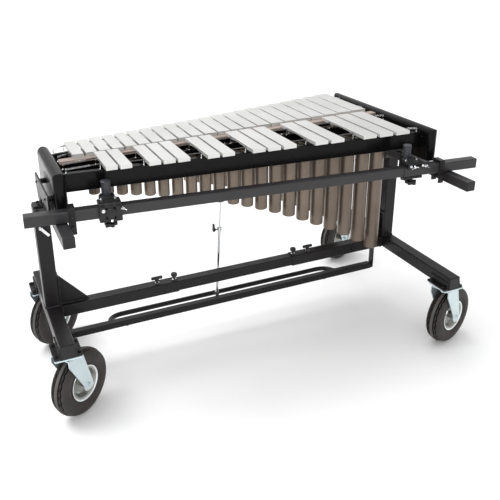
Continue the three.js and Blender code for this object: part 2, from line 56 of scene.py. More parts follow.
SLEEVE_END = 245
INNER_TUBE = 40
WHEEL_R = 118.5
AXLE_Z = 123.5
TYRE_W = 64
TRAIL = 45
PLATE_HALF = (46, 50.5)
PLATE_THICK = 5
BOLT_ROWS = (38.5, 29.5)
CASTER_INSET = 49.5
BOARD_OUT = 690
BOARD_THICK = 42
BOARD_Z = (752, 872)
BOARD_Y = {"left": (-215, 92), "right": (-305, 372)}
BRACKET_AT = BOARD_OUT + 13
BRACKET_THICK = 6
SPACER_Y = (-150, 26)
SPACER_Z = 774
RAIL_X = BOARD_OUT - BOARD_THICK - GAP
BAR_TOP = 876
BAR_THICK = 12.7
BAR_GAP = 8
CORD_Z = BAR_TOP - BAR_THICK / 2
TUBE_TOP = 838
RACK_Z = 750.5
RACK_CENTRE = (8, -309)
RACK_ANGLE = math.radians(-4.88)
RACK_HALF = 18
RACK_END = 798
SLEEVES = ((-1, 540), (1, 492))
ARM_X = 684
ARM_END = {"left": -375, "right": -505}
CLAMP_X = 653
PIVOT = (43, 155)
LOOP = (495, 118, 146)
ROD_X = -55
SIDES = (("left", -1), ("right", 1))

# The CAD stands on its tyres with its origin under the middle of its outline.
low, high = (Vector(corner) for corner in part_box("stretcher_inner_tube"))
CENTRE = (low + high) / 2 - Vector((0, 0, STRETCHER_Z / 1000))
TO_FRAME = Matrix.Translation(CENTRE) @ Matrix.Scale(0.001, 4)


def along(left, right):
    """A straight line from the left boards to the right ones, as a function of x."""
    return lambda x: left + (right - left) * (x + RAIL_X) / (2 * RAIL_X)


def strip(y, x, half):
    """Outline from -x to x of a beam of the given half width along the line y."""
    return [(-x, y(-x) - half), (x, y(x) - half), (x, y(x) + half), (-x, y(-x) + half)]


def surface(name, color, roughness, metallic=0.0, tint=0.12, patch=9.0, grain=700.0, bump=0.1,
            stretch=(1, 1, 1), wear=None, wear_amount=0.0, spread=0.08, sheen=0.0,
            specular=0.5, second=None):
    """A procedural finish: slow colour patches, fine grain in bump and gloss, worn edges."""
    mat = bpy.data.materials.new(name)
    mat.use_nodes = True
    tree = mat.node_tree
    nodes = tree.nodes
    link = tree.links.new
    shader = nodes["Principled BSDF"]
    for key, value in (("Metallic", metallic), ("Specular IOR Level", specular),
                       ("Sheen Weight", sheen)):
        shader.inputs[key].default_value = value
    place = nodes.new("ShaderNodeTexCoord")
    mapping = nodes.new("ShaderNodeMapping")
    mapping.inputs["Scale"].default_value = stretch
    link(place.outputs["Object"], mapping.inputs["Vector"])

    def noise(scale, detail, vector):
        node = nodes.new("ShaderNodeTexNoise")
        node.inputs["Scale"].default_value = scale
        node.inputs["Detail"].default_value = detail
        link(vector, node.inputs["Vector"])
        return node.outputs["Fac"]

    def ranged(value, low_in, high_in, low_out, high_out):
        node = nodes.new("ShaderNodeMapRange")
        for key, number in zip(("From Min", "From Max", "To Min", "To Max"),
                               (low_in, high_in, low_out, high_out)):
            node.inputs[key].default_value = number
        link(value, node.inputs["Value"])
        return node.outputs["Result"]

    def mixed(factor, first, other):
        node = nodes.new("ShaderNodeMix")
        node.data_type = "RGBA"
        link(factor, node.inputs["Factor"])
        for socket, value in ((node.inputs["A"], first), (node.inputs["B"], other)):
            if isinstance(value, tuple):
                socket.default_value = (*value, 1)
            else:
                link(value, socket)
        return node.outputs["Result"]

    slow = noise(patch, 4, place.outputs["Object"])
    fine = noise(grain, 3, mapping.outputs["Vector"])
    dark = tuple(channel * (1 - tint) for channel in color)
    light = second or tuple(min(1, channel * (1 + tint)) for channel in color)
    shade = mixed(ranged(slow, 0.3, 0.7, 0, 1), dark, light)
    shade = mixed(ranged(fine, 0.35, 0.65, 0, 0.35), shade, dark)
    if wear:
        softened = nodes.new("ShaderNodeBevel")
        softened.samples = 4
        softened.inputs["Radius"].default_value = 0.0022
        geometry = nodes.new("ShaderNodeNewGeometry")
        apart = nodes.new("ShaderNodeVectorMath")
        apart.operation = "DOT_PRODUCT"
        link(softened.outputs["Normal"], apart.inputs[0])
        link(geometry.outputs["Normal"], apart.inputs[1])
        edge = ranged(apart.outputs["Value"], 0.995, 0.9, 0, wear_amount)
        patchy = nodes.new("ShaderNodeMath")
        patchy.operation = "MULTIPLY"
        link(edge, patchy.inputs[0])
        link(ranged(noise(45, 5, place.outputs["Object"]), 0.42, 0.62, 0, 1), patchy.inputs[1])
        shade = mixed(patchy.outputs[0], shade, wear)
    link(shade, shader.inputs["Base Color"])
    uneven = noise(patch * 3.1, 5, place.outputs["Object"])
    gloss = ranged(uneven, 0.3, 0.7, roughness - spread, roughness + spread)
    link(gloss, shader.inputs["Roughness"])
    relief = nodes.new("ShaderNodeBump")
    relief.inputs["Strength"].default_value = bump
    relief.inputs["Distance"].default_value = 0.0006
    link(fine, relief.inputs["Height"])
    link(relief.outputs["Normal"], shader.inputs["Normal"])
    return mat


STEEL_EDGE = (0.12, 0.12, 0.125)
POWDER = surface("powder_coat", (0.0105, 0.0092, 0.0102), 0.34, tint=0.16,
                 grain=1500, bump=0.12, wear=STEEL_EDGE, wear_amount=0.25, specular=0.24)
SATIN = surface("rack_satin_black", (0.02, 0.0185, 0.0205), 0.36, tint=0.18,
                grain=1300, bump=0.12, wear=(0.2, 0.2, 0.21), wear_amount=0.4, specular=0.45)
LACQUER = surface("black_lacquer", (0.004, 0.0036, 0.0038), 0.2, tint=0.2, patch=14,
                  grain=420, bump=0.02, wear=(0.06, 0.057, 0.054), wear_amount=0.2, spread=0.05,
                  specular=0.14)
BAR_METAL = surface("satin_bar_metal", (0.68, 0.68, 0.665), 0.36, metallic=0.55,
                    tint=0.07, patch=6, grain=60, stretch=(18, 0.9, 18), bump=0.14)
BRONZE = surface("bronze_coating", (0.15, 0.115, 0.09), 0.34, metallic=0.55,
                 tint=0.14, patch=5, grain=500, stretch=(1, 1, 0.15), bump=0.05,
                 second=(0.2, 0.16, 0.125))
ZINC = surface("zinc_plating", (0.6, 0.7, 0.73), 0.32, metallic=0.7, tint=0.05, patch=14,
               grain=900, bump=0.015, spread=0.05, second=(0.66, 0.76, 0.78))
# A lighter copy of the rim zinc that paints the highlight on the rolled rim edges.
ZINC_LIP_HIGHLIGHT = surface("zinc_painted_highlight", (0.8, 0.84, 0.85), 0.22, metallic=0.85, tint=0.05,
                      patch=18, grain=700, bump=0.015, spread=0.05)
# Rim zinc darkened to paint the shade in the dished rim and the hub.
RIM_ZINC_SHADED = surface("rim_zinc_painted_shade", (0.3, 0.3, 0.28), 0.34, metallic=0.9, tint=0.16, patch=30,
                   grain=300, bump=0.07, second=(0.42, 0.43, 0.4))
CHROME = surface("chrome_plating", (0.66, 0.67, 0.69), 0.12, metallic=1, tint=0.06,
                 patch=40, grain=900, bump=0.02, spread=0.05)
BRASS = surface("brass_bush", (0.3, 0.22, 0.13), 0.38, metallic=0.85, tint=0.2, patch=60,
                grain=600, bump=0.08)
RUBBER = surface("tyre_rubber", (0.03, 0.0235, 0.0235), 0.62, tint=0.25, patch=16,
                 grain=900, bump=0.2, specular=0.4, second=(0.042, 0.033, 0.032))
# Near-black rubber that paints the shade at the bottoms of the tread grooves.
GROOVE_SHADE_RUBBER = surface("groove_painted_shade", (0.004, 0.0035, 0.0035), 0.9, tint=0.25,
                      patch=16, grain=900, bump=0.2, specular=0.1)
WORN_RUBBER = surface("tread_crown", (0.095, 0.09, 0.088), 0.8, tint=0.2, patch=26,
                      grain=700, bump=0.3, specular=0.3, second=(0.125, 0.12, 0.115))
FELT = surface("wool_felt", (0.33, 0.255, 0.21), 0.92, tint=0.2, patch=30, grain=1800,
               bump=0.8, sheen=0.3, spread=0.04, second=(0.4, 0.32, 0.27))
PLASTIC = surface("moulded_plastic", (0.009, 0.009, 0.0095), 0.4, tint=0.2, patch=20,
                  grain=2200, bump=0.2, wear=(0.05, 0.05, 0.05), wear_amount=0.25,
                  specular=0.36)
POST_GREY = surface("post_tube_grey", (0.03, 0.033, 0.041), 0.3, tint=0.15, patch=25,
                    grain=1200, bump=0.12)
CORD_WEAVE = surface("braided_cord", (0.05, 0.048, 0.05), 0.8, tint=0.3, patch=200,
                     grain=2600, bump=0.7, second=(0.16, 0.155, 0.15))


# ---------- mesh building, every part in millimetres ----------
def box(lo, hi, r=1.5, segments=3):
    """A block with all its edges rounded."""
    bm = bmesh.new()
    bmesh.ops.create_cube(bm, size=1)
    size = [abs(b - a) for a, b in zip(lo, hi)]
    middle = [(a + b) / 2 for a, b in zip(lo, hi)]
    bmesh.ops.scale(bm, vec=size, verts=bm.verts)
    bmesh.ops.translate(bm, vec=middle, verts=bm.verts)
    r = min(r, 0.45 * min(size))
    bmesh.ops.bevel(bm, geom=list(bm.edges), offset=r, segments=segments, profile=0.5,
                    affect="EDGES")
    return bm


AXES = {
    "x": Matrix(((0, 0, 1, 0), (1, 0, 0, 0), (0, 1, 0, 0), (0, 0, 0, 1))),
    "y": Matrix(((1, 0, 0, 0), (0, 0, -1, 0), (0, 1, 0, 0), (0, 0, 0, 1))),
    "z": Matrix.Identity(4),
}


def plate(points, axis, low_at, high_at, r=0.8, segments=2):
    """An outline pushed along an axis, its rims rounded. 'x' reads (y, z), 'y' (x, z)."""
    bm = bmesh.new()
    loop = [bm.verts.new((a, b, 0)) for a, b in points]
    face = bm.faces.new(loop)
    if face.normal.z < 0 or sum(
            p[0] * q[1] - q[0] * p[1] for p, q in zip(points, points[1:] + points[:1])) < 0:
        face.normal_flip()
    made = bmesh.ops.extrude_face_region(bm, geom=[face])
    lifted = [item for item in made["geom"] if isinstance(item, bmesh.types.BMVert)]
    bmesh.ops.translate(bm, vec=(0, 0, high_at - low_at), verts=lifted)
    bmesh.ops.recalc_face_normals(bm, faces=bm.faces)
    if r:
        rims = [e for e in bm.edges if abs(e.verts[0].co.z - e.verts[1].co.z) < 1e-6]
        bmesh.ops.bevel(bm, geom=rims, offset=r, segments=segments, profile=0.5, affect="EDGES")
    if axis == "y":
        low_at = -high_at
    return moved(shifted(bm, 0, 0, low_at), AXES[axis])


def arc(cx, cy, r, start, end, steps=6):
    """Points of an arc, angles in degrees."""
    return [(cx + r * math.cos(math.radians(start + (end - start) * i / steps)),
             cy + r * math.sin(math.radians(start + (end - start) * i / steps)))
            for i in range(steps + 1)]


def rounded(x0, y0, x1, y1, radii, steps=5):
    """Outline of a rectangle with its own radius at each corner, from the lower left round."""
    r0, r1, r2, r3 = radii if isinstance(radii, (list, tuple)) else [radii] * 4
    points = []
    for cx, cy, r, start in ((x0 + r0, y0 + r0, r0, 180), (x1 - r1, y0 + r1, r1, 270),
                             (x1 - r2, y1 - r2, r2, 0), (x0 + r3, y1 - r3, r3, 90)):
        points += arc(cx, cy, r, start, start + 90, steps) if r else [(cx, cy)]
    return points


def facing(start, end):
    """A matrix that puts +Z along start to end, at start."""
    start, end = Vector(start), Vector(end)
    turn = Vector((0, 0, 1)).rotation_difference(end - start).to_matrix().to_4x4()
    return Matrix.Translation(start) @ turn


def moved(bm, matrix):
    bmesh.ops.transform(bm, matrix=matrix, verts=bm.verts)
    return bm


def placed(parts, matrix):
    return [moved(part, matrix) for part in parts]


def shifted(bm, x, y, z):
    return moved(bm, Matrix.Translation((x, y, z)))


def turned(r, angle):
    return r * math.cos(angle), r * math.sin(angle)


def skinned(bm, loops):
    """Joins each ring of vertices to the next with faces; a ring of one vertex is a point."""
    for a, b in zip(loops, loops[1:]):
        count = max(len(a), len(b))
        for k in range(count):
            n = (k + 1) % count
            if len(a) == 1:
                bm.faces.new((a[0], b[n], b[k]))
            elif len(b) == 1:
                bm.faces.new((a[k], a[n], b[0]))
            else:
                bm.faces.new((a[k], a[n], b[n], b[k]))
    bmesh.ops.recalc_face_normals(bm, faces=bm.faces)
    return bm


def lathe(profile, sides=32, closed=True):
    """Profile points (radius, height) turned about Z; a radius of zero closes the end."""
    bm = bmesh.new()
    rings = []
    for r, z in profile:
        if r < 1e-6:
            rings.append([bm.verts.new((0, 0, z))])
            continue
        rings.append([bm.verts.new((*turned(r, 2 * math.pi * k / sides), z))
                      for k in range(sides)])
    if closed and len(rings[0]) > 1 and len(rings[-1]) > 1:
        rings.append(rings[0])
    return skinned(bm, rings)


def rod(start, end, r, sides=28, ease=0.6):
    """A round bar between two points, its ends eased."""
    length = (Vector(end) - Vector(start)).length
    ease = min(ease, r * 0.4, length * 0.3)
    profile = [(0, 0), (r - ease, 0), (r, ease), (r, length - ease), (r - ease, length),
               (0, length)]
    return moved(lathe(profile, sides), facing(start, end))


def pipe(points, r, sides=12):
    """A round tube that follows points on a smooth line."""
    bm = bmesh.new()
    points = [Vector(p) for p in points]
    rings = []
    side = None
    for i, point in enumerate(points):
        ahead = points[min(i + 1, len(points) - 1)]
        behind = points[max(i - 1, 0)]
        tangent = (ahead - behind).normalized()
        if side is None:
            side = tangent.orthogonal().normalized()
        side = (side - tangent * side.dot(tangent)).normalized()
        other = tangent.cross(side)
        rings.append([bm.verts.new(point + r * (math.cos(2 * math.pi * k / sides) * side
                                                + math.sin(2 * math.pi * k / sides) * other))
                      for k in range(sides)])
    bm.faces.new(rings[0])
    bm.faces.new(rings[-1])
    return skinned(bm, rings)


def coil(start, end, r, wire, turns, steps=12):
    """A helical spring between two points."""
    length = (Vector(end) - Vector(start)).length
    count = turns * steps
    points = [(*turned(r, 2 * math.pi * i / steps), length * i / count)
              for i in range(count + 1)]
    return moved(pipe(points, wire, 6), facing(start, end))


def bolt(at, toward, size=6.0, washer=True):
    """A hexagon head on a washer; toward points out of the surface."""
    parts = []
    if washer:
        parts.append(lathe([(0, 0), (size * 1.15, 0), (size * 1.15, size * 0.18),
                            (size * 1.05, size * 0.26), (0, size * 0.26)], 24))
    base = size * 0.24
    hexagon = [turned(size * 0.95, math.radians(a)) for a in range(0, 360, 60)]
    parts.append(plate(hexagon, "z", base, base + size * 0.62, size * 0.12))
    parts.append(lathe([(0, base), (size * 0.45, base), (size * 0.45, base + size * 0.85),
                        (size * 0.36, base + size * 0.95), (0, base + size * 0.95)], 16))
    return moved(merged(parts), facing(at, Vector(at) + Vector(toward)))


def merged(parts):
    """One mesh out of several, which stay separate shells."""
    whole = bmesh.new()
    for part in parts:
        offset = len(whole.verts)
        for v in part.verts:
            whole.verts.new(v.co)
        whole.verts.ensure_lookup_table()
        part.verts.index_update()
        for f in part.faces:
            whole.faces.new([whole.verts[offset + v.index] for v in f.verts])
        part.free()
    return whole


def added(name, data):
    """A new object in the scene that holds the given mesh, lamp or camera."""
    obj = bpy.data.objects.new(name, data)
    bpy.context.scene.collection.objects.link(obj)
    return obj


def piece(name, parts, mat, body="frame", stands_for=None, angle=34):
    """Makes one named piece from parts in millimetres and lets it ride on a body."""
    parts = parts if isinstance(parts, (list, tuple)) else [parts]
    bm = merged(parts)
    moved(bm, TO_FRAME)
    mesh = bpy.data.meshes.new(name)
    bm.to_mesh(mesh)
    bm.free()
    for polygon in mesh.polygons:
        polygon.use_smooth = True
    mesh.set_sharp_from_angle(angle=math.radians(angle))
    mesh.materials.append(mat)
    obj = added(name, mesh)
    even = obj.modifiers.new("even_shading", "WEIGHTED_NORMAL")
    even.keep_sharp = True
    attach(obj, body)
    if stands_for:
        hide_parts(stands_for)
    return obj


def shared(first, second):
    """What two parts have in common, by an exact boolean."""
    objects = []
    for part in (first, second):
        mesh = bpy.data.meshes.new("shaping")
        part.to_mesh(mesh)
        part.free()
        objects.append(added("shaping", mesh))
    cutter = objects[0].modifiers.new("cut", "BOOLEAN")
    cutter.operation = "INTERSECT"
    cutter.solver = "EXACT"
    cutter.object = objects[1]
    evaluated = objects[0].evaluated_get(bpy.context.evaluated_depsgraph_get())
    result = bmesh.new()
    result.from_mesh(evaluated.to_mesh())
    for obj in objects:
        mesh = obj.data
        bpy.data.objects.remove(obj)
        bpy.data.meshes.remove(mesh)
    return result


def square_tube(lo, hi, r=4.5, axis="z", ends=0.8):
    """A square tube seen from outside: rolled corners along it and crisp ends."""
    a, b, c = {"x": (1, 2, 0), "y": (0, 2, 1), "z": (0, 1, 2)}[axis]
    outline = rounded(lo[a], lo[b], hi[a], hi[b], r, 5)
    return plate(outline, axis, lo[c], hi[c], ends, 2)


# ---------- legs and stretcher ----------
def weld(points, r=2.6):
    """A slightly uneven bead along a line."""
    beads = []
    for start, end in zip(points, points[1:]):
        start, end = Vector(start), Vector(end)
        steps = max(6, int((end - start).length / 3))
        path = [start.lerp(end, i / steps) for i in range(steps + 1)]
        bm = pipe(path, r, 8)
        for v in bm.verts:
            ripple = math.sin(v.co.x * 2.1) + math.sin(v.co.y * 2.1) + math.sin(v.co.z * 2.1)
            v.co += Vector((0.22, 0.22, 0.22)) * ripple
        beads.append(bm)
    return beads


def ring_of(x, y, half, z):
    """Corner points round a square post at one height."""
    return [(x - half, y - half, z), (x + half, y - half, z), (x + half, y + half, z),
            (x - half, y + half, z), (x - half, y - half, z)]


def legs():
    half = TUBE / 2
    bottom = FOOT_TOP - TUBE
    for side, sign in SIDES:
        x = sign * LEG_X
        reach = FOOT_REACH[side]
        parts = [
            square_tube((x - half, -reach + 2.5, bottom), (x + half, reach - 2.5, FOOT_TOP),
                        axis="y"),
            square_tube((x - half, -half, FOOT_TOP - 2), (x + half, half, POST_TOP)),
        ]
        parts += weld(ring_of(x, 0, half - 0.6, FOOT_TOP + 0.6))
        bolts = []
        for end in (-1, 1):
            for face in (-1, 1):
                near, far = sorted((end * (reach - 4), end * (reach - 104)))
                inner = x + face * (half - 1)
                outer = x + face * (half + 22)
                flange = rounded(min(inner, outer), near, max(inner, outer), far,
                                 [6, 0, 0, 6] if face < 0 else [0, 6, 6, 0])
                parts.append(plate(flange, "z", bottom, bottom + 6, 0.9))
                wall = sorted((inner, inner + face * 6))
                parts.append(box((wall[0], near, bottom + 4), (wall[1], far, bottom + 30), 1.2))
                line = [(inner + face * 1.2, near + 4, bottom + 29.5),
                        (inner + face * 1.2, far - 4, bottom + 29.5)]
                parts += weld(line, 1.8)
                for inset in (20, 88):
                    y = end * (reach - inset)
                    bolts.append(bolt((x + face * (half + 13.5), y, bottom + 6), (0, 0, 1), 6.4))
        piece(f"{side}_leg_frame", parts, POWDER, stands_for=f"{side}_leg")
        piece(f"{side}_foot_bolts", bolts, POWDER)
        caps = []
        for end in (-1, 1):
            near, far = sorted((end * (reach - 3), end * reach))
            caps.append(box((x - half + 1.6, near, bottom + 1.6),
                            (x + half - 1.6, far, FOOT_TOP - 1.6), 1.4))
        piece(f"{side}_foot_caps", caps, PLASTIC)


def stretcher():
    half = STRETCHER / 2
    plate_at = LEG_X - TUBE / 2 - GAP
    top = STRETCHER_Z + half
    for side, sign in SIDES:
        s0, s1 = sorted((sign * (SLEEVE_END + 0.2), sign * (plate_at - 1)))
        p0, p1 = sorted((sign * (plate_at - 6), sign * plate_at))
        wall = (STRETCHER - INNER_TUBE) / 2
        parts = []
        # The sleeve's mouth is open, so it is four walls with rolled outer corners.
        outer = rounded(-half, STRETCHER_Z - half, half, STRETCHER_Z + half, 4, 5)
        bore = half - wall + 0.4
        inner = rounded(-bore, STRETCHER_Z - bore, bore, STRETCHER_Z + bore, 2.5, 5)
        parts.append(hollow_tube(outer, inner, s0, s1))
        parts.append(box((p0, -TUBE / 2, FOOT_TOP - TUBE), (p1, TUBE / 2, top + 118), 1.2))
        gusset = [(plate_at - 2, top - 1), (plate_at - 2, top + 112), (plate_at - 8, top + 112),
                  (plate_at - 104, top + 4), (plate_at - 104, top - 1)]
        gusset = [(sign * gx, gz) for gx, gz in gusset]
        parts.append(plate(gusset, "y", -3, 3, 0.8))
        run = [(sign * (plate_at - 100), 0, top + 0.6), (sign * (plate_at - 8), 0, top + 0.6)]
        for lane in (-4.2, 4.2):
            parts += weld([(px, lane, pz) for px, _, pz in run], 1.9)
        parts += weld([(sign * (plate_at - 6.6), y, z) for _, y, z in
                       ring_side(half, STRETCHER_Z)], 2.0)
        piece(f"{side}_sleeve", parts, POWDER, stands_for=f"{side}_stretcher_sleeve")
        plate_bolts = [bolt((sign * (plate_at - 6), y, z), (-sign, 0, 0), 5.5)
                       for y in (-14, 14) for z in (top + 34, top + 96)]
        piece(f"{side}_gusset_bolts", plate_bolts, POWDER)
        knobs(side, sign)
    reach = SLEEVE_END + 180
    half = INNER_TUBE / 2
    tube = square_tube((-reach, -half, STRETCHER_Z - half), (reach, half, STRETCHER_Z + half),
                       3.5, "x")
    piece("inner_tube", tube, POWDER, stands_for="stretcher_inner_tube")


def ring_side(half, z):
    """Corner points round a square tube that runs along X."""
    return [(0, -half, z - half), (0, half, z - half), (0, half, z + half),
            (0, -half, z + half), (0, -half, z - half)]


def hollow_tube(outer, inner, x0, x1):
    """A tube along X between two outlines with the same number of points."""
    bm = bmesh.new()
    loops = []
    for points, x in ((outer, x0), (outer, x1), (inner, x1), (inner, x0)):
        loops.append([bm.verts.new((x, a, b)) for a, b in points])
    loops.append(loops[0])
    return skinned(bm, loops)


def knobs(side, sign):
    z = STRETCHER_Z + STRETCHER / 2 + GAP
    for kind, at, body in (("wing", 325, f"{side}_wing_knob"), ("lock", 257, f"{side}_lock_knob")):
        x = sign * at
        if kind == "wing":
            parts = [
                rod((x, 0, z), (x, 0, z + 16), 4, 20),
                shifted(lathe([(0, 0), (7.5, 0), (8, 1), (7, 9), (6, 12), (0, 13)], 28),
                        x, 0, z + 9),
                plate(rounded(x - 22, -5, x + 22, 5, 4.99, 8), "z", z + 15, z + 26, 2.4, 4),
            ]
        else:
            grip = lathe([(0, 0), (10.5, 0), (12, 1.4), (12, 9.5), (10, 12), (0, 12)], 40)
            for v in grip.verts:
                reach = math.hypot(v.co.x, v.co.y)
                if reach > 10:
                    turn = math.atan2(v.co.y, v.co.x)
                    v.co.xy *= 1 - 0.04 * (1 + math.cos(turn * 20)) / 2
            parts = [rod((x, 0, z), (x, 0, z + 15), 4, 20), shifted(grip, x, 0, z + 14)]
        piece(f"{side}_{kind}_handle", parts, PLASTIC, body,
              stands_for=f"{side}_stretcher_{kind}_knob")
        collar = lathe([(5, 0), (8.5, 0), (8.5, 2.2), (7.5, 3), (5, 3)], 28)
        piece(f"{side}_{kind}_nut", shifted(collar, x, 0, z - 0.2), CHROME)


# ---------- casters ----------
CASTERS = (
    ("front_left", -1, -1, 38),
    ("back_left", -1, 1, 38),
    ("front_right", 1, -1, 17),
    ("back_right", 1, 1, 19),
)
PLATE_TOP = FOOT_TOP - TUBE - GAP
RACE_BOTTOM = PLATE_TOP - 9
CROWN_TOP = RACE_BOTTOM - GAP
FORK_IN = TYRE_W / 2 + 4


def tread_radius(across):
    """The carcass radius at one place across the tread, before the grooves."""
    return WHEEL_R - 0.9 - 6.2 * (abs(across) / 24) ** 2


def tread_depth(turn, across):
    """How far the tread is cut in at one place; two zig-zag grooves each side of the crown."""
    depth = 0
    for k, groove in enumerate((8.6, 16.6)):
        for way in (-1, 1):
            zig = abs((turn * 26 / math.pi + k * 0.5) % 2 - 1) * 3 - 1.5
            gap = abs(across - way * groove - zig)
            depth = max(depth, 5 * max(0, 1 - (gap / 2.8) ** 4))
    return depth


def tyre():
    """Carcass with a cut tread, round shoulders and bead ridges, turned about Y."""
    section = []
    for i in range(41):
        across = -24 + 48 * i / 40
        section.append((tread_radius(across), across, True))
    side = [(WHEEL_R - 10.6, 27.4), (WHEEL_R - 15.4, 29.6), (97, 30.9), (90, 31.4), (84.6, 31),
            (83, 31.4), (80, 30.6), (73, 27.8), (68, 24.9), (64.4, 23.6), (62, 21.4), (58.8, 20.8)]
    section += [(r, y, False) for r, y in side + mirrored(side)]
    steps = 208
    bm = bmesh.new()
    rings = []
    for k in range(steps):
        turn = 2 * math.pi * k / steps
        ring = []
        for r, y, cut in section:
            depth = tread_depth(turn, y) if cut else 0
            x, z = turned(r - depth, turn)
            ring.append(bm.verts.new((x, y, z)))
        rings.append(ring)
    return skinned(bm, rings + rings[:1])


def crown():
    """The worn middle rib of the tread, a skin just over the carcass."""
    half, base = 5.6, WHEEL_R - 2.6
    top = WHEEL_R - 0.05
    profile = [(base, -half), (top - 0.6, -half), (top, -half + 0.8), (top, half - 0.8),
               (top - 0.6, half), (base, half)]
    return moved(lathe(profile, 104), TURN_TO_Y)


def groove_shade_bands():
    """Painted shade at the bottoms of the grooves: a near-black band on each side of the crown,
    just under the tread.
    """
    bands = []
    for way in (-1, 1):
        spots = [way * (4.8 + 16 * i / 8) for i in range(9)]
        profile = [(tread_radius(y) - 3.2, y) for y in spots]
        profile += [(tread_radius(y) - 4.6, y) for y in reversed(spots)]
        bands.append(moved(lathe(profile, 104), TURN_TO_Y))
    return merged(bands)


TURN_TO_Y = Matrix.Rotation(math.radians(-90), 4, "X")


def mirrored(profile):
    """The same profile on the other side, in reverse, so that it goes on from the first."""
    return [(r, -z) for r, z in reversed(profile)]


def rim():
    """Two pressed halves bolted at a flange, with a rolled edge each side."""
    half = [(15, -6), (27, -6), (32, -8), (41, -8), (45, -13), (48, -20), (51, -23.5),
            (57, -24.5), (62.6, -26.5), (63.5, -25.4), (62.4, -24), (57.6, -22.5), (57, -12)]
    return moved(lathe(half + [(55, 0)] + mirrored(half), 72), TURN_TO_Y)


def rim_lips():
    """The rolled edge of the rim, a ring on each side in a lighter copy of the rim zinc that paints
    its highlight.
    """
    rings = []
    for way in (-1, 1):
        profile = [(57.2, way * 24.6), (60, way * 26.4), (62.9, way * 26.9), (63.4, way * 26),
                   (62, way * 24.5), (58, way * 23.4)]
        rings.append(moved(lathe(profile, 72), TURN_TO_Y))
    return merged(rings)


def fork():
    """A bent plate over the wheel, cut to the side outline."""
    bottom = CROWN_TOP - 4.5
    width = FORK_IN + 4
    inside = FORK_IN
    low_z = AXLE_Z - 30
    arch = [(-width, low_z)] + arc(-width + 7, CROWN_TOP - 7, 7, 180, 90, 6)
    arch += arc(width - 7, CROWN_TOP - 7, 7, 90, 0, 6) + [(width, low_z), (inside, low_z)]
    arch += arc(inside - 3, bottom - 3, 3, 0, 90, 4) + arc(-inside + 3, bottom - 3, 3, 90, 180, 4)
    arch += [(-inside, low_z)]
    outline = [(-34, CROWN_TOP + 2), (-34, bottom - 22)]
    outline += arc(TRAIL, AXLE_Z, 22.5, 165, 370, 18)
    outline += [(30, CROWN_TOP + 2)]
    sheet = plate(arch, "x", -40, 80, 0)
    return shared(sheet, plate(outline, "y", -width - 5, width + 5, 0))


